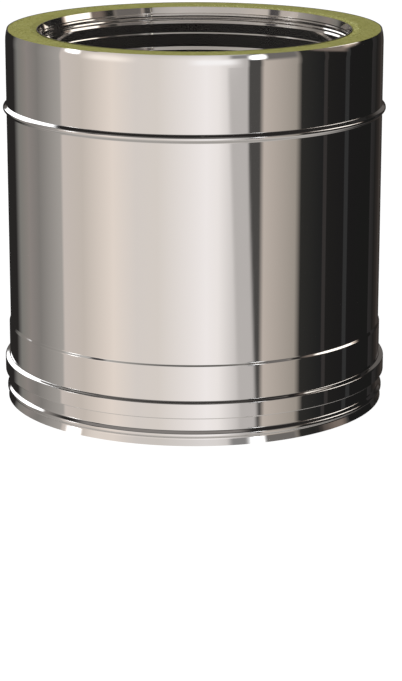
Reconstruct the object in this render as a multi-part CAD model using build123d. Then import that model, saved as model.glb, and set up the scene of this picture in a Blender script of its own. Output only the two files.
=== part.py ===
from build123d import *
import math
import os

# Double-wall chimney pipe, standing on the bottom rim of its jacket.
# Millimetres, +Z up. The origin is on the pipe's axis, level with the bottom rim.
# Lower end: the jacket is the outer socket and the liner is the spigot.
# Upper end: the jacket is the spigot and the liner is the inner socket.
# Rolled beads and bends are drawn in flats, which keeps these large thin rings light.

# Overall sizes
working_length = 250.0          # length that one pipe adds to a chimney
overlap = 50.0                  # depth that the next jacket goes into this one
jacket_diameter = 300.0         # outside of the plain jacket
wool_thickness = 25.0           # mineral wool at the liner's mouth
jacket_sheet = 0.6
liner_sheet = 0.6

# Fits
jacket_play = 0.35              # next jacket inside this one's socket, per side
liner_play = 0.3                # liner spigot inside the tightest seat, per side
wool_ease = 0.2                 # wool to sheet metal
weld_standoff = 0.05            # spacer foot to the shell that it is welded to

# Jacket, top end
roll_height = 9.5               # stretch that is rolled in at the top edge
roll_depth = 1.3
stop_bead_height = 6.5
stop_bead_depth = 2.65
stop_bead_slope = 2.3           # height of each sloping side
stop_bead_gap = 9.0             # next jacket's rim to the stop bead

# Jacket, bottom end, with depths out from the socket wall
lip_height = 5.4                # flared lip, up to the end bead
lip_flare = 1.8
end_bead_height = 6.9
end_bead_depth = 2.35
end_bead_undercut = 2.0         # height of its steeper underside
end_bead_slope = 2.9            # height of its sloping top
clamp_neck = 9.1                # plain wall from the end bead up to the clamp bead
clamp_bead_height = 14.4
clamp_bead_depth = 3.7
clamp_bead_undercut = 0.9
clamp_bead_slope = 2.0
socket_step_height = 1.2
socket_spare = 14.1             # socket that stays above the next jacket's edge

# Liner socket, with places given as depths below the liner's rim
rim_inset = 0.7                 # liner's rim below the jacket's top edge
lead_in_depth = 5.1
lead_in_flare = 0.6
groove_height = 7.2             # seal groove, straight below the lead-in
groove_slope = 2.0
groove_depth = 1.5              # out from the first seat
first_seat_bottom = 21.4
seat_step = 0.3                 # the second seat is this much tighter
seat_step_height = 0.8
stop_shoulder_top = 33.3
stop_shoulder_height = 2.4
spigot_gap = 1.0                # spigot's end to the stop shoulder

# Wool
crown_width = 6.1               # slope from the liner up to the crown
crown_drop = 1.0
wool_chamfer = 6.0              # slope that lets the wool slip over the liner's socket

# Spacers
spacer_count = 3                # in each of the two rings
spacer_turn = 30.0              # direction of the first lower spacer, degrees from +X
spacer_width = 22.0
spacer_sheet = 1.0
spacer_foot = 12.0
spacer_bend = 2.0               # setback of each bend
spacer_above_step = 24.0        # lower ring's webs above the socket step
spacer_below_bead = 24.0        # upper ring's webs below the stop bead

# Worked out from the sizes above
pipe_height = working_length + overlap
jacket_radius = jacket_diameter / 2
jacket_inside = jacket_radius - jacket_sheet
socket_radius = jacket_radius + jacket_play + jacket_sheet
socket_top = overlap + socket_spare
end_bead_top = lip_height + end_bead_height
clamp_bead_bottom = end_bead_top + clamp_neck
clamp_bead_top = clamp_bead_bottom + clamp_bead_height
stop_bead_top = working_length - stop_bead_gap
stop_bead_bottom = stop_bead_top - stop_bead_height
roll_bottom = pipe_height - roll_height

rim_height = pipe_height - rim_inset
mouth_outside = jacket_inside - wool_thickness
mouth_inside = mouth_outside - liner_sheet
throat_inside = mouth_inside - lead_in_flare
first_seat_inside = throat_inside - seat_step
second_seat_inside = first_seat_inside - seat_step
liner_radius = second_seat_inside - liner_play
liner_inside = liner_radius - liner_sheet
throat_height = rim_height - lead_in_depth
groove_bottom = throat_height - groove_height
shoulder_top = rim_height - stop_shoulder_top
shoulder_bottom = shoulder_top - stop_shoulder_height
spigot_bottom = shoulder_bottom - working_length + spigot_gap

spacer_inner_face = liner_radius + weld_standoff
spacer_reach = math.sqrt((jacket_inside - weld_standoff) ** 2 - (spacer_width / 2) ** 2)
spacer_outer_face = spacer_reach - spacer_sheet


def sheet_outline(path, sheet, side):
    """Section of a sheet whose one face follows the path."""
    return make_face(offset(path, amount=sheet, side=side, kind=Kind.INTERSECTION).edges())


def turn(outline):
    """Ring swept by an outline, drawn as radius and height, about the pipe's axis."""
    return revolve(Plane.XZ * outline, Axis.Z)


def bead(wall_radius, depth, bottom, top, undercut, slope):
    """Corners of a bead that bulges out from a wall, drawn upwards."""
    return [
        (wall_radius, bottom),
        (wall_radius + depth, bottom + undercut),
        (wall_radius + depth, top - slope),
        (wall_radius, top),
    ]


def make_outer_jacket():
    """Outer pipe of rolled sheet, drawn along its outer face."""
    flare_slope = lip_flare / lip_height
    end_bead = bead(
        socket_radius, end_bead_depth, lip_height, end_bead_top,
        end_bead_undercut, end_bead_slope,
    )
    clamp_bead = bead(
        socket_radius, clamp_bead_depth, clamp_bead_bottom, clamp_bead_top,
        clamp_bead_undercut, clamp_bead_slope,
    )
    stop_bead = bead(
        jacket_radius, stop_bead_depth, stop_bead_bottom, stop_bead_top,
        stop_bead_slope, stop_bead_slope,
    )
    path = Polyline(
        (socket_radius + lip_flare + flare_slope * jacket_sheet, -jacket_sheet),
        *end_bead,
        *clamp_bead,
        (socket_radius, socket_top - socket_step_height),
        (jacket_radius, socket_top),
        *stop_bead,
        (jacket_radius, roll_bottom),
        (jacket_radius - roll_depth, pipe_height),
    )
    outline = sheet_outline(path, jacket_sheet, Side.LEFT)
    below_rim = Rectangle(2 * jacket_diameter, jacket_diameter, align=(Align.CENTER, Align.MAX))
    return turn(outline - below_rim)


def make_inner_liner():
    """Flue liner of rolled sheet, drawn along its inner face."""
    groove_crest = first_seat_inside + groove_depth
    path = Polyline(
        (liner_inside, spigot_bottom),
        (liner_inside, shoulder_bottom),
        (second_seat_inside, shoulder_top),
        (second_seat_inside, rim_height - first_seat_bottom - seat_step_height),
        (first_seat_inside, rim_height - first_seat_bottom),
        (first_seat_inside, groove_bottom),
        (groove_crest, groove_bottom + groove_slope),
        (groove_crest, throat_height - groove_slope),
        (throat_inside, throat_height),
        (mouth_inside, rim_height),
    )
    return turn(sheet_outline(path, liner_sheet, Side.RIGHT))


def make_spacer():
    """Bent strip that centres the liner: foot up the liner, web, foot down the jacket."""
    path = Polyline(
        (spacer_inner_face, spacer_foot),
        (spacer_inner_face, spacer_bend),
        (spacer_inner_face + spacer_bend, 0),
        (spacer_outer_face - spacer_bend, 0),
        (spacer_outer_face, -spacer_bend),
        (spacer_outer_face, -spacer_foot),
    )
    outline = Plane.XZ * sheet_outline(path, spacer_sheet, Side.LEFT)
    return extrude(outline, spacer_width / 2, both=True)


def make_spacer_slit():
    """Room that one spacer takes in the wool, open to both shells."""
    room = spacer_sheet + wool_ease
    path = Polyline(
        (liner_inside, spacer_foot + wool_ease),
        (liner_inside, -wool_ease),
        (spacer_outer_face - spacer_bend - wool_ease, -wool_ease),
        (spacer_outer_face - wool_ease, -spacer_bend - wool_ease),
        (spacer_outer_face - wool_ease, -spacer_foot - wool_ease),
        (jacket_radius, -spacer_foot - wool_ease),
        (jacket_radius, room),
        (spacer_inner_face + spacer_bend + room, room),
        (spacer_inner_face + room, spacer_bend + room),
        (spacer_inner_face + room, spacer_foot + wool_ease),
        close=True,
    )
    return extrude(Plane.XZ * make_face(path.edges()), spacer_width / 2 + wool_ease, both=True)


def place_spacers():
    """Where each spacer goes, by node name. The upper ring is turned half a pitch."""
    pitch = 360 / spacer_count
    places = {}
    for number in range(spacer_count):
        direction = spacer_turn + pitch * number
        lower_web = socket_top + spacer_above_step
        upper_web = stop_bead_bottom - spacer_below_bead
        places[f"spacer_lower_{number + 1}"] = Rot(0, 0, direction) * Pos(0, 0, lower_web)
        places[f"spacer_upper_{number + 1}"] = (
            Rot(0, 0, direction + pitch / 2) * Pos(0, 0, upper_web)
        )
    return places


def make_wool_ring():
    """Mineral wool between the shells, flush with the jacket's rolled edge."""
    jacket_side = jacket_inside - wool_ease
    plain_side = liner_radius + wool_ease
    socket_side = first_seat_inside + groove_depth + liner_sheet + wool_ease
    outline = Polyline(
        (plain_side, overlap),
        (plain_side, shoulder_bottom - wool_chamfer),
        (socket_side, shoulder_bottom),
        (socket_side, pipe_height - crown_drop),
        (mouth_outside + crown_width, pipe_height),
        (jacket_side - roll_depth, pipe_height),
        (jacket_side, roll_bottom),
        (jacket_side, overlap),
        close=True,
    )
    wool = turn(make_face(outline.edges()))
    slit = make_spacer_slit()
    for place in place_spacers().values():
        wool -= place * slit
    return wool


def make_parts():
    """Every piece of the pipe, by node name."""
    parts = {
        "outer_jacket": make_outer_jacket(),
        "inner_liner": make_inner_liner(),
        "wool_ring": make_wool_ring(),
    }
    spacer = make_spacer()
    for name, place in place_spacers().items():
        parts[name] = place * spacer
    return parts


os.makedirs("parts", exist_ok=True)
for name, solid in make_parts().items():
    export_step(solid, f"parts/{name}.step")
    print(name, round(solid.volume), "mm3")
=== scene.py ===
# Double-wall chimney pipe: the finish of its polished shells, its wool and its welds.
# Lengths are in millimetres in the settings and become metres where something is made.
import math

import bpy
import numpy as np
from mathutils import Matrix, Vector


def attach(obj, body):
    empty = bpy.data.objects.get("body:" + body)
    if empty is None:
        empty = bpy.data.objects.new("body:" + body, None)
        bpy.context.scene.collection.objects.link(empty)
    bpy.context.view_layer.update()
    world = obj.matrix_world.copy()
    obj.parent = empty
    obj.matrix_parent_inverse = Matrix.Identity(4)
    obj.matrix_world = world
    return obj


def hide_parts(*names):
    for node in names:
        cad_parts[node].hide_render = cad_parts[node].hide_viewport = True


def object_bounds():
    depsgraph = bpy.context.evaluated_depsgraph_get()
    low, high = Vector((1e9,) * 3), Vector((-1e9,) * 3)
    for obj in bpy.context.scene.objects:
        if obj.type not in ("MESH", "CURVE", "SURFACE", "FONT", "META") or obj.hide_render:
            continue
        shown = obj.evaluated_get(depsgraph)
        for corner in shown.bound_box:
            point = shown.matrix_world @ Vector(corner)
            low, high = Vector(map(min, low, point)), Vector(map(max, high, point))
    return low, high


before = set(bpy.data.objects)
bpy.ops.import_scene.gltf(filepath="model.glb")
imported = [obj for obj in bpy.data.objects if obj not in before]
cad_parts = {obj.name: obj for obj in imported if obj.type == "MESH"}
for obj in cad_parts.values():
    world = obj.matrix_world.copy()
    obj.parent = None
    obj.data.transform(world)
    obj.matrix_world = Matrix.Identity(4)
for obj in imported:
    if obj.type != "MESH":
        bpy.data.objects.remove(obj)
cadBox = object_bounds()
mm = 0.001
pipeTop = cadBox[1].z / mm
print("frame loaded, pipe is", round(pipeTop, 2), "mm tall")


def toLinear(hexText):
    # sRGB hex to the linear colour that shaders take
    values = [int(hexText[i:i + 2], 16) / 255 for i in (0, 2, 4)]
    return [v / 12.92 if v <= 0.04045 else ((v + 0.055) / 1.055) ** 2.4 for v in values] + [1.0]


def addNode(tree, kind, settings=None, inputs=None):
    # adds one node; an input given as a socket is linked, anything else is set
    node = tree.nodes.new(kind)
    for name, value in (settings or {}).items():
        setattr(node, name, value)
    for socket, value in (inputs or {}).items():
        if isinstance(value, bpy.types.NodeSocket):
            tree.links.new(value, node.inputs[socket])
        else:
            node.inputs[socket].default_value = value
    return node


def calculate(tree, operation, *values):
    node = addNode(tree, "ShaderNodeMath", {"operation": operation}, dict(enumerate(values)))
    return node.outputs[0]


def calculateVector(tree, operation, *values):
    node = addNode(tree, "ShaderNodeVectorMath", {"operation": operation}, dict(enumerate(values)))
    return node.outputs["Value" if operation in ("LENGTH", "DOT_PRODUCT") else "Vector"]


def scaleVector(tree, vector, factor):
    node = addNode(tree, "ShaderNodeVectorMath", {"operation": "SCALE"}, {0: vector, "Scale": factor})
    return node.outputs["Vector"]


def addNoise(tree, place, scale, detail):
    node = addNode(tree, "ShaderNodeTexNoise", inputs={
        "Vector": place,
        "Scale": scale,
        "Detail": detail,
    })
    return node.outputs["Fac"]


def newMaterial(name):
    material = bpy.data.materials.new(name)
    material.use_nodes = True
    material.node_tree.nodes.clear()
    return material, material.node_tree


def linkObject(name, data):
    thing = bpy.data.objects.new(name, data)
    bpy.context.scene.collection.objects.link(thing)
    return thing


# Profiles of bent sheet, given as corners: (radius, height, bend radius)
bendStep = 7.5  # degrees of a bend for each face
bendHold = 0.08  # length on both sides of a bend that keeps its shading off the flats


def roundBends(corners):
    # every corner but the first and last becomes an arc
    points = [Vector(corners[0][:2])]
    for before, here, after in zip(corners, corners[1:], corners[2:]):
        corner = Vector(here[:2])
        bend = here[2]
        incoming = (corner - Vector(before[:2])).normalized()
        outgoing = (Vector(after[:2]) - corner).normalized()
        cross = incoming.x * outgoing.y - incoming.y * outgoing.x
        turn = math.atan2(cross, incoming.dot(outgoing))
        inward = Vector((-incoming.y, incoming.x)) * math.copysign(1, turn)
        reach = bend * math.tan(abs(turn) / 2)
        start = corner - incoming * reach
        steps = max(3, math.ceil(math.degrees(abs(turn)) / bendStep))
        points.append(start - incoming * bendHold)
        for step in range(steps + 1):
            angle = abs(turn) * step / steps
            points.append(start + bend * (incoming * math.sin(angle) + inward * (1 - math.cos(angle))))
        points.append(corner + outgoing * (reach + bendHold))
    points.append(Vector(corners[-1][:2]))
    return points


def shiftPath(points, distance):
    # the same path, moved to its left by distance
    directions = [(b - a).normalized() for a, b in zip(points, points[1:])]
    moved = []
    for point, before, after in zip(points, directions[:1] + directions, directions + directions[-1:]):
        mean = (before + after).normalized()
        left = Vector((-mean.y, mean.x))
        moved.append(point + left * distance / mean.dot(after))
    return moved


def sheetSection(corners, sheet):
    # closed outline of a sheet whose first face follows the corners; the sheet lies to the left
    face = roundBends(corners)
    return face + shiftPath(face, sheet)[::-1]


def drawCurve(name, points, closed):
    curve = bpy.data.curves.new(name, "CURVE")
    curve.dimensions = "3D"
    spline = curve.splines.new("POLY")
    spline.points.add(len(points) - 1)
    for target, point in zip(spline.points, points):
        target.co = (*point, 1)
    spline.use_cyclic_u = closed
    return linkObject(name, curve)


# Geometry Nodes: how a tree starts, ends and runs, and the one that turns a section
def newGeometryTree(name, sockets):
    tree = bpy.data.node_groups.new(name, "GeometryNodeTree")
    tree.interface.new_socket("Geometry", in_out="INPUT", socket_type="NodeSocketGeometry")
    tree.interface.new_socket("Geometry", in_out="OUTPUT", socket_type="NodeSocketGeometry")
    for label, kind in sockets.items():
        tree.interface.new_socket(label, in_out="INPUT", socket_type=kind)
    return tree, tree.nodes.new("NodeGroupInput"), tree.nodes.new("NodeGroupOutput")


def endTree(tree, given, made, geometry):
    real = addNode(tree, "GeometryNodeRealizeInstances", inputs={"Geometry": geometry})
    finish = addNode(tree, "GeometryNodeSetMaterial", inputs={
        "Geometry": real.outputs[0],
        "Material": given.outputs["Finish"],
    })
    tree.links.new(finish.outputs[0], made.inputs[0])
    return tree


def shadeSmooth(tree, geometry):
    return addNode(tree, "GeometryNodeSetShadeSmooth", inputs={"Geometry": geometry}).outputs[0]


def runTree(name, tree, values):
    # runs a tree on an empty mesh and keeps the result as a plain mesh
    thing = linkObject(name, bpy.data.meshes.new(name))
    modifier = thing.modifiers.new("build", "NODES")
    modifier.node_group = tree
    for item in tree.interface.items_tree:
        if item.item_type == "SOCKET" and item.in_out == "INPUT" and item.name in values:
            modifier[item.identifier] = values[item.name]
    graph = bpy.context.evaluated_depsgraph_get()
    mesh = bpy.data.meshes.new_from_object(thing.evaluated_get(graph))
    thing.modifiers.remove(modifier)
    thing.data = mesh
    return thing


def makeTurnTree():
    tree, given, made = newGeometryTree("turnSection", {
        "Section": "NodeSocketObject",
        "Path Radius": "NodeSocketFloat",
        "Segments": "NodeSocketInt",
        "Finish": "NodeSocketMaterial",
    })
    section = addNode(tree, "GeometryNodeObjectInfo", inputs={"Object": given.outputs["Section"]})
    circle = addNode(tree, "GeometryNodeCurvePrimitiveCircle", inputs={
        "Resolution": given.outputs["Segments"],
        "Radius": given.outputs["Path Radius"],
    })
    swept = addNode(tree, "GeometryNodeCurveToMesh", inputs={
        "Curve": circle.outputs["Curve"],
        "Profile Curve": section.outputs["Geometry"],
    })
    return endTree(tree, given, made, shadeSmooth(tree, swept.outputs["Mesh"]))


turnTree = makeTurnTree()
sharpAngle = 40.0  # edges that turn by more degrees stay sharp


def turnSection(name, points, segments, finish):
    # points are (radius, height); taken clockwise, they give faces that point outwards
    area = sum(a[0] * b[1] - b[0] * a[1] for a, b in zip(points, points[1:] + points[:1]))
    if area > 0:
        points = points[::-1]
    pathRadius = max(point[0] for point in points) * mm
    flat = [(point[0] * mm - pathRadius, -point[1] * mm, 0) for point in points]
    section = drawCurve(name + "Section", flat, True)
    piece = runTree(name, turnTree, {
        "Section": section,
        "Path Radius": pathRadius,
        "Segments": segments,
        "Finish": finish,
    })
    bpy.data.objects.remove(section)
    piece.data.set_sharp_from_angle(angle=math.radians(sharpAngle))
    return piece


# Polished stainless: cold-rolled sheet, buffed bright, then rolled and beaded. It mirrors the room
# in tall straight bands, with a faint upright grain left by the buffing wheel.
def makePolishedStainless(settings):
    material, tree = newMaterial(settings["name"])
    place = addNode(tree, "ShaderNodeTexCoord").outputs["Object"]
    across = 1 / (settings["grainWidth"] * mm)
    along = 1 / (settings["grainLength"] * mm)
    stretched = addNode(tree, "ShaderNodeMapping", inputs={
        "Vector": place,
        "Scale": (across, across, along),
    })
    grain = addNoise(tree, stretched.outputs[0], 1.0, 3.0)
    cloud = addNoise(tree, place, 1 / (settings["cloudSize"] * mm), 2.0)
    rough = addNode(tree, "ShaderNodeMapRange", inputs={
        "Value": calculate(tree, "MULTIPLY", grain, cloud),
        "From Min": 0.1,  # two noises multiplied stay between these
        "From Max": 0.5,
        "To Min": settings["roughness"][0],
        "To Max": settings["roughness"][1],
    })
    bump = addNode(tree, "ShaderNodeBump", inputs={
        "Height": grain,
        "Strength": 1.0,
        "Distance": settings["grainDepth"] * mm,
    })
    shader = addNode(tree, "ShaderNodeBsdfPrincipled", inputs={
        "Base Color": toLinear(settings["colour"]),
        "Metallic": settings["metallic"],
        "Roughness": rough.outputs[0],
        "Normal": bump.outputs[0],
    })
    addNode(tree, "ShaderNodeOutputMaterial", inputs={"Surface": shader.outputs[0]})
    return material


jacketSteel = makePolishedStainless({
    "name": "mirrorPolishedStainless",
    "metallic": 1.0,
    "colour": "dadada",
    "roughness": (0.02, 0.05),
    "grainWidth": 0.8,  # buffing lines are finer, drawn as coarse as they need to show
    "grainLength": 60.0,
    "grainDepth": 0.0004,
    "cloudSize": 60.0,
})
linerSteel = makePolishedStainless({
    "name": "brightRolledStainless",
    "colour": "d0cdca",
    "metallic": 0.975,  # its rolled skin takes the deepest mirror out of it
    "roughness": (0.04, 0.06),
    "grainWidth": 0.8,
    "grainLength": 40.0,
    "grainDepth": 0.00005,
    "cloudSize": 40.0,
})
print("steel finishes made")


# Outer jacket, drawn upwards along its outer face
jacket = {
    "sheet": 0.6,
    "segments": 300,
    "lip": [(152.6, 0, 0), (150.95, 5.0, 1.4)],
    "endBead": [(150.95, 5.9, 0.8), (153.3, 7.5, 1.2), (153.3, 9.6, 1.6), (150.95, 12.0, 1.6)],
    "clampBead": [(150.95, 21.4, 0.6), (154.65, 22.3, 0.8), (154.65, 34.3, 1.2), (150.95, 35.1, 0.9)],
    "step": [(150.95, 62.3, 1.9), (150.0, 64.1, 1.9)],
    "stopBead": [(150.0, 234.5, 0.9), (152.75, 236.8, 1.8), (152.75, 238.7, 1.8), (150.0, 241.0, 0.9)],
    "roll": [(150.0, 295.3, 34.0), (148.72, pipeTop, 0)],
}
jacketForms = ("lip", "endBead", "clampBead", "step", "stopBead", "roll")
jacketCorners = [corner for form in jacketForms for corner in jacket[form]]


def makeJacket():
    # the bottom rim is trimmed level
    section = [(p.x, max(p.y, 0)) for p in sheetSection(jacketCorners, jacket["sheet"])]
    piece = turnSection("jacketSheet", section, jacket["segments"], jacketSteel)
    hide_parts("outer_jacket")
    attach(piece, "root")
    return piece


# Inner liner, drawn downwards along its inner face
liner = {
    "sheet": 0.6,
    "segments": 360,
    "leadIn": [(124.4, 299.3, 0), (123.05, 294.2, 0.7)],
    "groove": [  # seal groove with two rolled ridges in it
        (123.6, 293.5, 0.35), (123.25, 292.4, 0.7), (123.25, 291.0, 0.7),
        (123.9, 290.3, 0.35), (123.35, 289.1, 0.7), (123.35, 288.2, 0.7),
        (123.6, 287.7, 0.35), (122.9, 285.9, 0.7),
    ],
    "seats": [(122.9, 277.9, 0.5), (122.6, 277.1, 0.5), (122.6, 266.0, 0.9), (121.7, 263.6, 1.2)],
    "spigot": [(121.7, 14.6, 0)],
}
linerForms = ("leadIn", "groove", "seats", "spigot")
linerCorners = [corner for form in linerForms for corner in liner[form]]


def makeLiner():
    section = [(p.x, p.y) for p in sheetSection(linerCorners, liner["sheet"])]
    section[-1] = (section[0][0] + liner["sheet"], section[0][1])  # the rim is trimmed level
    piece = turnSection("linerSheet", section, liner["segments"], linerSteel)
    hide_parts("inner_liner")
    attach(piece, "root")
    return piece


jacketPiece = makeJacket()
linerPiece = makeLiner()
print("shells turned:", len(jacketPiece.data.polygons) + len(linerPiece.data.polygons), "faces")


# Long weld of each shell: a narrow seam, planished nearly flush, that follows every bead
weld = {
    "width": 1.8,
    "height": 0.04,
    "sides": 10,
    "step": 0.7,
    "ripplePitch": 1.3,
    "rippleShare": 0.35,
    "direction": 107.0,  # degrees from +X, at the back
    "cloudSize": 2.5,
    "colours": ("b9b5b0", "c6c1b8"),
    "roughness": (0.06, 0.14),
}


def makeWeldTree():
    # a rod of unit size is laid along the path, flattened and rippled
    tree, given, made = newGeometryTree("weldAlongPath", {
        "Path": "NodeSocketObject",
        "Width": "NodeSocketFloat",
        "Height": "NodeSocketFloat",
        "Sides": "NodeSocketInt",
        "Steps": "NodeSocketInt",
        "Ripple Pitch": "NodeSocketFloat",
        "Ripple Share": "NodeSocketFloat",
        "Finish": "NodeSocketMaterial",
    })
    path = addNode(tree, "GeometryNodeObjectInfo", inputs={"Object": given.outputs["Path"]})
    rod = addNode(tree, "GeometryNodeMeshCylinder", {"fill_type": "NGON"}, {
        "Vertices": given.outputs["Sides"],
        "Side Segments": given.outputs["Steps"],
        "Radius": 1.0,
        "Depth": 1.0,
    })
    place = addNode(tree, "GeometryNodeInputPosition")
    split = addNode(tree, "ShaderNodeSeparateXYZ", inputs={0: place.outputs[0]})
    share = calculate(tree, "ADD", split.outputs["Z"], 0.5)
    seat = addNode(tree, "GeometryNodeSampleCurve", {"mode": "FACTOR"}, {
        "Curves": path.outputs["Geometry"],
        "Factor": share,
    })
    length = addNode(tree, "GeometryNodeCurveLength", inputs={"Curve": path.outputs["Geometry"]})
    along = calculate(tree, "MULTIPLY", share, length.outputs[0])
    waves = calculate(tree, "DIVIDE", along, given.outputs["Ripple Pitch"])
    curl = calculate(tree, "SINE", calculate(tree, "MULTIPLY", waves, math.tau))
    ripple = calculate(tree, "MULTIPLY_ADD", curl, given.outputs["Ripple Share"], 1.0)
    across = calculateVector(tree, "CROSS_PRODUCT", seat.outputs["Position"], (0.0, 0.0, -1.0))
    sideways = calculateVector(tree, "NORMALIZE", across)
    outwards = calculateVector(tree, "CROSS_PRODUCT", sideways, seat.outputs["Tangent"])
    width = calculate(tree, "MULTIPLY", split.outputs["X"], given.outputs["Width"])
    reach = calculate(tree, "MULTIPLY", width, -0.5)
    height = calculate(tree, "MULTIPLY", split.outputs["Y"], given.outputs["Height"])
    rise = calculate(tree, "MULTIPLY", height, ripple)
    wide = scaleVector(tree, sideways, reach)
    high = scaleVector(tree, outwards, rise)
    offset = calculateVector(tree, "ADD", wide, high)
    moved = addNode(tree, "GeometryNodeSetPosition", inputs={
        "Geometry": rod.outputs["Mesh"],
        "Position": calculateVector(tree, "ADD", seat.outputs["Position"], offset),
    })
    return endTree(tree, given, made, shadeSmooth(tree, moved.outputs[0]))


def makeWeldSteel():
    # Planished weld: the same sheet, melted and hammered flat, so it is duller and a little
    # straw-coloured
    material, tree = newMaterial("planishedStainlessWeld")
    place = addNode(tree, "ShaderNodeTexCoord").outputs["Object"]
    cloud = addNoise(tree, place, 1 / (weld["cloudSize"] * mm), 3.0)
    tint = addNode(tree, "ShaderNodeMix", {"data_type": "RGBA"}, {
        0: cloud,
        6: toLinear(weld["colours"][0]),
        7: toLinear(weld["colours"][1]),
    })
    rough = addNode(tree, "ShaderNodeMapRange", inputs={
        "Value": cloud,
        "To Min": weld["roughness"][0],
        "To Max": weld["roughness"][1],
    })
    shader = addNode(tree, "ShaderNodeBsdfPrincipled", inputs={
        "Base Color": tint.outputs[2],
        "Metallic": 1.0,
        "Roughness": rough.outputs[0],
    })
    addNode(tree, "ShaderNodeOutputMaterial", inputs={"Surface": shader.outputs[0]})
    return material


def makeWeld(name, corners):
    angle = math.radians(weld["direction"])
    face = roundBends(corners)
    points = [(p.x * math.cos(angle) * mm, p.x * math.sin(angle) * mm, p.y * mm) for p in face]
    path = drawCurve(name + "Path", points, False)
    length = sum((b - a).length for a, b in zip(face, face[1:]))
    piece = runTree(name, weldTree, {
        "Path": path,
        "Width": weld["width"] * mm,
        "Height": weld["height"] * mm,
        "Sides": weld["sides"],
        "Steps": round(length / weld["step"]),
        "Ripple Pitch": weld["ripplePitch"] * mm,
        "Ripple Share": weld["rippleShare"],
        "Finish": weldSteel,
    })
    bpy.data.objects.remove(path)
    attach(piece, "root")


weldTree = makeWeldTree()
weldSteel = makeWeldSteel()
makeWeld("jacketWeld", jacketCorners)
makeWeld("linerWeld", linerCorners)
print("welds laid")


# Mineral wool, drawn as (radius, height); its cut faces get grain, loose fibres and crumbs
wool = {
    "inner": [(122.5, 50.0), (122.5, 257.6), (125.2, 263.6), (125.2, 298.8)],
    "ridge": (130.5, 299.95),
    "outer": [(147.8, 299.95), (149.2, 290.5), (149.2, 50.3)],
    "bottomInner": (122.5, 50.3),
    "segments": 720,
    "grid": 0.85,
    "tuftSize": 7.0,
    "tuftHeight": 0.32,
    "grainSize": 1.5,
    "grainHeight": 0.28,
    "grainLevel": 0.72,  # noise above it stands up, and the rest is sunk
    "cutLimit": 0.6,  # a face counts as cut when its normal is this upright
    "scatterTilt": 0.25,
    "scatterSizes": (0.45, 1.25),
    "fibreLength": 2.6,
    "fibreThickness": 0.12,  # real fibres are 6 thousandths of a millimetre thick
    "fibreBow": 0.16,  # share of the length
    "fibreRise": 1.6,  # in thicknesses
    "fibreDensity": 0.14,  # fibres on a square millimetre
    "fibreSeed": 3,
    "crumbSize": 0.85,
    "crumbShape": (1.5, 0.8, 0.6),
    "crumbDensity": 0.22,
    "crumbBand": (129.2, 133.0),  # they thin out between these radii
    "crumbDirection": 42.0,
    "crumbSpread": (0.45, 0.85),  # cosines of the angle off that direction where they thin out
    "crumbFewest": 0.03,  # share of them that lies everywhere else
    "crumbSeed": 5,
}


def divide(start, end, step):
    start, end = Vector(start), Vector(end)
    count = max(1, round((end - start).length / step))
    return [start.lerp(end, i / count) for i in range(count)]


def makeGrainTree():
    # the cut faces rise and sink in tufts and grains, and the walls stay smooth
    tree, given, made = newGeometryTree("raiseGrain", {
        "Body": "NodeSocketObject",
        "Tuft Size": "NodeSocketFloat",
        "Tuft Height": "NodeSocketFloat",
        "Grain Size": "NodeSocketFloat",
        "Grain Height": "NodeSocketFloat",
        "Finish": "NodeSocketMaterial",
    })
    body = addNode(tree, "GeometryNodeObjectInfo", inputs={"Object": given.outputs["Body"]})
    place = addNode(tree, "GeometryNodeInputPosition")
    facing = addNode(tree, "GeometryNodeInputNormal")
    heights = []
    for kind in ("Tuft", "Grain"):
        scale = calculate(tree, "DIVIDE", 1.0, given.outputs[kind + " Size"])
        noise = addNoise(tree, place.outputs[0], scale, 2.0)
        level = calculate(tree, "SUBTRACT", noise, wool["grainLevel"])
        heights.append(calculate(tree, "MULTIPLY", level, given.outputs[kind + " Height"]))
    split = addNode(tree, "ShaderNodeSeparateXYZ", inputs={0: facing.outputs[0]})
    upright = calculate(tree, "ABSOLUTE", split.outputs["Z"])
    rise = calculate(tree, "MULTIPLY", calculate(tree, "ADD", *heights), upright)
    moved = addNode(tree, "GeometryNodeSetPosition", inputs={
        "Geometry": body.outputs["Geometry"],
        "Offset": scaleVector(tree, facing.outputs[0], rise),
    })
    return endTree(tree, given, made, moved.outputs[0])


def keepToBand(tree, share):
    # most crumbs lie on the inner slope, towards one side
    place = addNode(tree, "GeometryNodeInputPosition")
    flatPlace = calculateVector(tree, "MULTIPLY", place.outputs[0], (1.0, 1.0, 0.0))
    inside = addNode(tree, "ShaderNodeMapRange", {"interpolation_type": "SMOOTHSTEP"}, {
        "Value": calculateVector(tree, "LENGTH", flatPlace),
        "From Min": wool["crumbBand"][0] * mm,
        "From Max": wool["crumbBand"][1] * mm,
        "To Min": 1.0,
        "To Max": 0.0,
    })
    angle = math.radians(wool["crumbDirection"])
    direction = calculateVector(tree, "NORMALIZE", flatPlace)
    side = (math.cos(angle), math.sin(angle), 0.0)
    around = addNode(tree, "ShaderNodeMapRange", {"interpolation_type": "SMOOTHSTEP"}, {
        "Value": calculateVector(tree, "DOT_PRODUCT", direction, side),
        "From Min": wool["crumbSpread"][0],
        "From Max": wool["crumbSpread"][1],
        "To Min": wool["crumbFewest"],
        "To Max": 1.0,
    })
    share = calculate(tree, "MULTIPLY", share, inside.outputs[0])
    return calculate(tree, "MULTIPLY", share, around.outputs[0])


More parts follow.
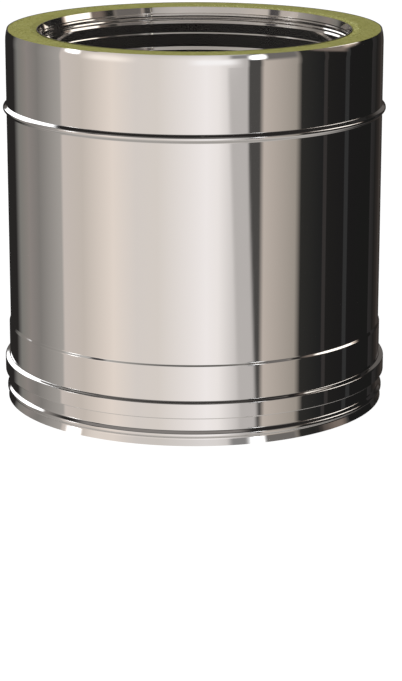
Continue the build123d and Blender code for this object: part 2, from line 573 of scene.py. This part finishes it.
def makeScatterTree(name, drawShape, narrow=None):
    # scatters a small shape over the cut faces, or over a part of them
    tree, given, made = newGeometryTree(name, {
        "Body": "NodeSocketObject",
        "Density": "NodeSocketFloat",
        "Size": "NodeSocketFloat",
        "Thickness": "NodeSocketFloat",
        "Seed": "NodeSocketInt",
        "Finish": "NodeSocketMaterial",
    })
    body = addNode(tree, "GeometryNodeObjectInfo", inputs={"Object": given.outputs["Body"]})
    facing = addNode(tree, "GeometryNodeInputNormal")
    split = addNode(tree, "ShaderNodeSeparateXYZ", inputs={0: facing.outputs[0]})
    upright = calculate(tree, "ABSOLUTE", split.outputs["Z"])
    share = calculate(tree, "GREATER_THAN", upright, wool["cutLimit"])
    if narrow:
        share = narrow(tree, share)
    points = addNode(tree, "GeometryNodeDistributePointsOnFaces", inputs={
        "Mesh": body.outputs["Geometry"],
        "Density": calculate(tree, "MULTIPLY", share, given.outputs["Density"]),
        "Seed": given.outputs["Seed"],
    })
    tilt = wool["scatterTilt"]
    turn = addNode(tree, "FunctionNodeRandomValue", {"data_type": "FLOAT_VECTOR"}, {
        0: (-tilt, -tilt, 0.0),
        1: (tilt, tilt, math.tau),
        "Seed": given.outputs["Seed"],
    })
    size = addNode(tree, "FunctionNodeRandomValue", {"data_type": "FLOAT"}, {
        2: wool["scatterSizes"][0],
        3: wool["scatterSizes"][1],
        "Seed": given.outputs["Seed"],
    })
    placed = addNode(tree, "GeometryNodeInstanceOnPoints", inputs={
        "Points": points.outputs["Points"],
        "Instance": shadeSmooth(tree, drawShape(tree, given)),
        "Rotation": turn.outputs[0],
        "Scale": size.outputs[1],
    })
    return endTree(tree, given, made, placed.outputs[0])


def drawFibre(tree, given):
    # a fibre that arches a little off the surface
    length = given.outputs["Size"]
    thickness = given.outputs["Thickness"]
    back = addNode(tree, "ShaderNodeCombineXYZ", inputs={0: calculate(tree, "MULTIPLY", length, -0.5)})
    middle = addNode(tree, "ShaderNodeCombineXYZ", inputs={
        1: calculate(tree, "MULTIPLY", length, wool["fibreBow"]),
        2: calculate(tree, "MULTIPLY", thickness, wool["fibreRise"]),
    })
    front = addNode(tree, "ShaderNodeCombineXYZ", inputs={0: calculate(tree, "MULTIPLY", length, 0.5)})
    line = addNode(tree, "GeometryNodeCurveQuadraticBezier", inputs={
        "Resolution": 3,
        "Start": back.outputs[0],
        "Middle": middle.outputs[0],
        "End": front.outputs[0],
    })
    outline = addNode(tree, "GeometryNodeCurvePrimitiveCircle", inputs={
        "Resolution": 3,
        "Radius": calculate(tree, "MULTIPLY", thickness, 0.5),
    })
    tube = addNode(tree, "GeometryNodeCurveToMesh", inputs={
        "Curve": line.outputs[0],
        "Profile Curve": outline.outputs["Curve"],
        "Fill Caps": True,
    })
    return tube.outputs[0]


def drawCrumb(tree, given):
    ball = addNode(tree, "GeometryNodeMeshIcoSphere", inputs={
        "Radius": calculate(tree, "MULTIPLY", given.outputs["Size"], 0.5),
        "Subdivisions": 1,
    })
    flat = addNode(tree, "GeometryNodeTransform", inputs={
        "Geometry": ball.outputs["Mesh"],
        "Scale": wool["crumbShape"],
    })
    return flat.outputs[0]


# Mineral wool: spun rock fibre bound with resin and cut square. It is quite matt, mottled in
# tufts, with a fine sandy grain where the cut fibre ends stand up.
woolLook = {
    "colours": ("918f48", "9e9c58", "abaa69"),
    "crumbColours": ("b9b97a", "d2d394", "e8e9bb"),
    "stops": (0.22, 0.5, 0.78),
    "tuftSize": 9.0,
    "grainSize": 1.1,
    "grainShare": 0.6,
    "grainDepth": 0.3,
    "grainStrength": 0.4,
}


def makeWoolMaterial(name, colours):
    material, tree = newMaterial(name)
    place = addNode(tree, "ShaderNodeTexCoord").outputs["Object"]
    tufts = addNoise(tree, place, 1 / (woolLook["tuftSize"] * mm), 3.0)
    grain = addNoise(tree, place, 1 / (woolLook["grainSize"] * mm), 3.0)
    blend = addNode(tree, "ShaderNodeMix", {"data_type": "FLOAT"}, {
        0: woolLook["grainShare"],
        2: tufts,
        3: grain,
    })
    ramp = addNode(tree, "ShaderNodeValToRGB", inputs={0: blend.outputs[0]})
    elements = ramp.color_ramp.elements
    elements.new(woolLook["stops"][1])
    for element, stop, colour in zip(elements, woolLook["stops"], colours):
        element.position = stop
        element.color = toLinear(colour)
    bump = addNode(tree, "ShaderNodeBump", inputs={
        "Height": grain,
        "Strength": woolLook["grainStrength"],
        "Distance": woolLook["grainDepth"] * mm,
    })
    shader = addNode(tree, "ShaderNodeBsdfPrincipled", inputs={
        "Base Color": ramp.outputs[0],
        "Roughness": 0.95,
        "Specular IOR Level": 0.2,
        "Normal": bump.outputs[0],
    })
    addNode(tree, "ShaderNodeOutputMaterial", inputs={"Surface": shader.outputs[0]})
    return material


def makeWool():
    section = wool["inner"][:-1] + divide(wool["inner"][-1], wool["ridge"], wool["grid"])
    section += divide(wool["ridge"], wool["outer"][0], wool["grid"])
    section += wool["outer"][:-1] + divide(wool["outer"][-1], wool["bottomInner"], wool["grid"])
    woolFinish = makeWoolMaterial("cutMineralWool", woolLook["colours"])
    crumbFinish = makeWoolMaterial("looseWoolCrumb", woolLook["crumbColours"])
    plain = turnSection("woolPlain", section, wool["segments"], woolFinish)
    ring = runTree("woolRing", makeGrainTree(), {
        "Body": plain,
        "Tuft Size": wool["tuftSize"] * mm,
        "Tuft Height": wool["tuftHeight"] * mm,
        "Grain Size": wool["grainSize"] * mm,
        "Grain Height": wool["grainHeight"] * mm,
        "Finish": woolFinish,
    })
    bpy.data.objects.remove(plain)
    fibres = runTree("woolFibres", makeScatterTree("scatterFibres", drawFibre), {
        "Body": ring,
        "Density": wool["fibreDensity"] / mm ** 2,
        "Size": wool["fibreLength"] * mm,
        "Thickness": wool["fibreThickness"] * mm,
        "Seed": wool["fibreSeed"],
        "Finish": woolFinish,
    })
    crumbs = runTree("woolCrumbs", makeScatterTree("scatterCrumbs", drawCrumb, keepToBand), {
        "Body": ring,
        "Density": wool["crumbDensity"] / mm ** 2,
        "Size": wool["crumbSize"] * mm,
        "Seed": wool["crumbSeed"],
        "Finish": crumbFinish,
    })
    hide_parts("wool_ring")
    for piece in (ring, fibres, crumbs):
        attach(piece, "root")
        print(piece.name, len(piece.data.polygons), "faces")


makeWool()


# Spacers stay as they are in the frame and get their finish
strip = {
    "colour": "c4c2be",
    "lineWidth": 0.6,
    "lineLength": 20.0,
    "roughness": (0.25, 0.45),
}


def makeStripSteel():
    # Slit stainless strip: dull mill finish with upright rolling lines
    material, tree = newMaterial("slitStainlessStrip")
    place = addNode(tree, "ShaderNodeTexCoord").outputs["Object"]
    across = 1 / (strip["lineWidth"] * mm)
    along = 1 / (strip["lineLength"] * mm)
    stretched = addNode(tree, "ShaderNodeMapping", inputs={
        "Vector": place,
        "Scale": (across, across, along),
    })
    rough = addNode(tree, "ShaderNodeMapRange", inputs={
        "Value": addNoise(tree, stretched.outputs[0], 1.0, 2.0),
        "To Min": strip["roughness"][0],
        "To Max": strip["roughness"][1],
    })
    shader = addNode(tree, "ShaderNodeBsdfPrincipled", inputs={
        "Base Color": toLinear(strip["colour"]),
        "Metallic": 1.0,
        "Roughness": rough.outputs[0],
    })
    addNode(tree, "ShaderNodeOutputMaterial", inputs={"Surface": shader.outputs[0]})
    return material


stripSteel = makeStripSteel()
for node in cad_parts:
    if node.startswith("spacer_"):
        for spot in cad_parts[node].material_slots:
            spot.material = stripSteel
print("spacers finished")


# Studio that only the metal mirrors. Azimuth runs from the camera's side towards the right and
# elevation up from the floor line, both in degrees.
studio = {
    "distance": 12000.0,
    "columns": 721,
    "rows": 180,
    "poleGap": 0.5,
    "gain": 1.43,  # makes up for what the metal takes
    # painted flats that stand all round: azimuth from, to, colour at each side
    "flats": [
        (-180, -142, "21201f", "252322"),
        (-142, -134, "2c2a29", "767470"),
        (-134, -121, "76746f", "867f7a"),
        (-121, -109, "867f7b", "7a7672"),
        (-109, -88, "7a7672", "9f9a95"),
        (-88, -86, "9f9a95", "c2b8b1"),
        (-86, -71, "c2b8b1", "bfb5ac"),
        (-71, -50, "bfb5ac", "ded2c8"),
        (-50, -35, "ded2c8", "d2cac4"),
        (-35, -22, "d2cac4", "d3cbc4"),
        (-22, 7, "d3cbc4", "ece6e4"),
        (7, 14, "ece6e4", "e8e2df"),
        (14, 30, "e8e2df", "b3aeab"),
        (30, 31, "b3aeab", "b3aeab"),
        (31, 33, "b3aeab", "484644"),
        (33, 39, "484644", "484644"),
        (39, 42, "484644", "b7aca3"),
        (42, 63, "b7aca3", "978f86"),
        (63, 67, "978f86", "302e2c"),
        (67, 84, "2b2a28", "1f1f1f"),
        (84, 87, "343130", "343130"),
        (87, 103, "1f1e1d", "1c1b1b"),
        (103, 107, "303030", "303030"),
        (107, 136, "1b1a1a", "191918"),
        (136, 144, "2c2a2a", "242322"),
        (144, 156, "1d1c1b", "2f2a27"),
        (156, 180, "3a3532", "24211f"),
    ],
    # soft panels laid over them, in order: azimuth from, to, elevation from, to, soft edge in
    # azimuth and in elevation, lean (azimuth gained with each degree up), slope (elevation
    # gained with each degree to the right), colour, strength
    "panels": [
        (-180, 180, -90, -50, 26, 26, 0, 0, "b4afaa", 1.0),  # floor
        (-88, 33, 28, 90, 3, 18, 0, 0, "b1aeaa", 1.0),  # front canopy, darker as it rises
        (-94, 40, 40, 90, 14, 12, 0, 0, "8a8581", 1.0),
        (44, 62, 10, 90, 4, 8, 0, 0, "6a6663", 1.0),  # darker top of the right flat
        (-68, -62.5, 18, 34, 4, 3, 0, 0, "484546", 1.0),  # dark gap in the canopy
        (-180, 180, 42, 90, 8, 9, 0, 0, "262423", 1.0),  # dark ceiling
        (-95, 60, 50, 64, 14, 6, 0, 0.12, "7e7976", 1.0),  # pale strip in it
        (-180, -152, 6, 22, 10, 4, 0, 0, "5b5754", 1.0),  # wall far behind
        (156, 180, 6, 22, 10, 4, 0, 0, "5b5754", 1.0),
        (-58, -48, 6, 8, 16, 8, 0, 0, "fdf2e8", 0.9),  # two warm glows on the front flats
        (6, 18, 3, 7, 12, 7, 0, 0, "fffcfb", 0.9),
        (24, 30, 14, 17, 5, 3, 0, 0, "807e7d", 1.0),  # shade beside the right lamp
        (38, 45.5, -30, -9, 3, 2, -0.77, 0, "b3aeab", 1.0),  # slanting edge of the dark flat
        (79, 98, 13.5, 40, 9, 4, 0, -0.45, "786c64", 1.0),  # brown edge under the right card
        (-78.2, -77.8, 11.2, 11.8, 7.2, 4.3, 0, 0, "ffffff", 4.5),  # left lamp
        (37.8, 38.2, 12.5, 13.1, 7.0, 5.7, 0, 0, "ffffff", 4.5),  # right lamp
        (-157, -121, 6, 36, 3, 3, 0, 0.2, "ffffff", 1.6),  # left card
        (106, 113, 9.5, 14, 8, 6, 0, 0, "d9c4b4", 1.0),  # warm glow of the right card
        (89.5, 111, 14.4, 32, 4, 2, -0.4, -0.25, "fff8ee", 1.6),  # right card
        (-171, -157, 14, 27, 1.5, 2, 0, 0, "ffffff", 1.6),  # end of the left card
    ],
}


def smoothRamp(value, low, high):
    share = np.clip((value - low) / (high - low), 0, 1)
    return share * share * (3 - 2 * share)


def studioColours(azimuth, elevation):
    # linear colour of the studio for arrays of directions
    starts = np.array([flat[0] for flat in studio["flats"]])
    index = np.clip(np.searchsorted(starts, azimuth, side="right") - 1, 0, len(starts) - 1)
    first = np.array([toLinear(flat[2])[:3] for flat in studio["flats"]])[index]
    last = np.array([toLinear(flat[3])[:3] for flat in studio["flats"]])[index]
    spans = np.array([flat[1] - flat[0] for flat in studio["flats"]], float)[index]
    share = ((azimuth - starts[index]) / spans)[:, None]
    colour = first * (1 - share) + last * share
    for azFrom, azTo, elFrom, elTo, azSoft, elSoft, lean, slope, shade, strength in studio["panels"]:
        upright = azimuth - lean * (elevation - elFrom)
        level = elevation - slope * (azimuth - azFrom)
        left = smoothRamp(upright, azFrom - azSoft, azFrom)
        right = smoothRamp(-upright, -azTo - azSoft, -azTo)
        across = 1.0 if azTo - azFrom == 360 else left * right
        low = smoothRamp(level, elFrom - elSoft, elFrom)
        high = smoothRamp(-level, -elTo - elSoft, -elTo)
        weight = (across * low * high)[:, None]
        colour = colour * (1 - weight) + np.array(toLinear(shade)[:3]) * strength * weight
    return colour * studio["gain"]


def mirrorOnly(thing):
    # the metal mirrors it, and nothing else sees it
    thing.visible_camera = False
    thing.visible_diffuse = False
    thing.visible_transmission = False
    thing.visible_shadow = False


def makeStudio():
    highest = 90 - studio["poleGap"]
    azimuths = np.linspace(-180, 180, studio["columns"])
    elevations = np.linspace(-highest, highest, studio["rows"])
    el, az = np.meshgrid(elevations, azimuths, indexing="ij")
    az, el = az.ravel(), el.ravel()
    flat = np.cos(np.radians(el)) * studio["distance"] * mm
    places = np.stack([
        flat * np.sin(np.radians(az)),
        -flat * np.cos(np.radians(az)),
        np.sin(np.radians(el)) * studio["distance"] * mm + pipeTop / 2 * mm,
    ], axis=1)
    rows, columns = len(elevations), len(azimuths)
    corner = (np.arange(rows - 1)[:, None] * columns + np.arange(columns - 1)[None, :]).ravel()
    faces = np.stack([corner, corner + columns, corner + columns + 1, corner + 1], axis=1)
    mesh = bpy.data.meshes.new("studioWall")
    mesh.from_pydata(places.tolist(), [], faces.tolist())
    colours = np.ones((len(az), 4), np.float32)
    colours[:, :3] = studioColours(np.clip(az, -179.99, 179.99), el)  # the seam stays on the flats
    mesh.attributes.new("shade", "FLOAT_COLOR", "POINT").data.foreach_set("color", colours.ravel())
    wall = linkObject("studioWall", mesh)
    material, tree = newMaterial("paintedStudioFlats")
    shade = addNode(tree, "ShaderNodeAttribute", {"attribute_name": "shade"})
    glow = addNode(tree, "ShaderNodeEmission", inputs={"Color": shade.outputs["Color"]})
    addNode(tree, "ShaderNodeOutputMaterial", inputs={"Surface": glow.outputs[0]})
    material.cycles.emission_sampling = "NONE"
    mesh.materials.append(material)
    mirrorOnly(wall)


# Pale sweep under the pipe: mostly its own white, so only a light shadow shows
sweep = {
    "reach": 9000.0,
    "glow": 1.1,
    "paperShare": 0.12,
}


def makeFloor():
    mesh = bpy.data.meshes.new("floor")
    side = sweep["reach"] * mm
    places = [(-side, -side, 0), (side, -side, 0), (side, side, 0), (-side, side, 0)]
    mesh.from_pydata(places, [], [(0, 1, 2, 3)])
    floor = linkObject("floor", mesh)
    material, tree = newMaterial("whitePaperSweep")
    paper = addNode(tree, "ShaderNodeBsdfDiffuse", inputs={"Color": (1, 1, 1, 1)})
    glow = addNode(tree, "ShaderNodeEmission", inputs={
        "Color": (1, 1, 1, 1),
        "Strength": sweep["glow"],
    })
    pale = addNode(tree, "ShaderNodeMixShader", inputs={
        0: sweep["paperShare"],
        1: glow.outputs[0],
        2: paper.outputs[0],
    })
    clear = addNode(tree, "ShaderNodeBsdfTransparent")
    face = addNode(tree, "ShaderNodeNewGeometry")
    whole = addNode(tree, "ShaderNodeMixShader", inputs={
        0: face.outputs["Backfacing"],  # clear from below
        1: pale.outputs[0],
        2: clear.outputs[0],
    })
    addNode(tree, "ShaderNodeOutputMaterial", inputs={"Surface": whole.outputs[0]})
    material.cycles.emission_sampling = "NONE"
    mesh.materials.append(material)
    floor.visible_glossy = False
    floor.visible_diffuse = False


# Light of the room: a white sky and a large soft lamp on the left
roomLight = {
    "skyStrength": 0.6,
    "softboxPower": 22.0,
    "softboxSize": 900.0,
    "softboxPlace": (-1750.0, -350.0, 900.0),
    "aim": (0, 0, 300.0),
}


def makeWorld():
    # the camera sees the sky white, and everything else gets a share of it
    world = bpy.data.worlds.new("whiteRoom")
    bpy.context.scene.world = world
    world.use_nodes = True
    tree = world.node_tree
    tree.nodes.clear()
    seen = addNode(tree, "ShaderNodeLightPath")
    level = addNode(tree, "ShaderNodeMapRange", inputs={
        "Value": seen.outputs["Is Camera Ray"],
        "To Min": roomLight["skyStrength"],
        "To Max": 1.0,
    })
    sky = addNode(tree, "ShaderNodeBackground", inputs={
        "Color": (1, 1, 1, 1),
        "Strength": level.outputs[0],
    })
    addNode(tree, "ShaderNodeOutputWorld", inputs={"Surface": sky.outputs[0]})


def makeSoftbox():
    # it lights what is matt, and the metal doesn't mirror it
    data = bpy.data.lights.new("leftSoftbox", "AREA")
    data.shape = "DISK"
    data.size = roomLight["softboxSize"] * mm
    data.energy = roomLight["softboxPower"]
    lamp = linkObject("leftSoftbox", data)
    lamp.location = Vector(roomLight["softboxPlace"]) * mm
    towards = Vector(roomLight["aim"]) * mm - lamp.location
    lamp.rotation_euler = towards.to_track_quat("-Z", "Y").to_euler()
    lamp.visible_glossy = False
    lamp.visible_camera = False


makeStudio()
makeFloor()
makeWorld()
makeSoftbox()
print("studio built")


# Camera as the photograph was taken: in front, a little above the pipe
camera = {
    "lens": 128.78,
    "distance": 1928.7,
    "height": 573.4,
    "pitch": 15.406,
    "shift": 0.0097,
}


def makeCamera():
    data = bpy.data.cameras.new("photoCamera")
    data.lens = camera["lens"]
    data.shift_x = camera["shift"]
    thing = linkObject("photoCamera", data)
    thing.location = (0, -camera["distance"] * mm, camera["height"] * mm)
    thing.rotation_euler = (math.radians(90 - camera["pitch"]), 0, 0)
    bpy.context.scene.camera = thing


makeCamera()
bpy.context.scene.view_settings.view_transform = "Standard"
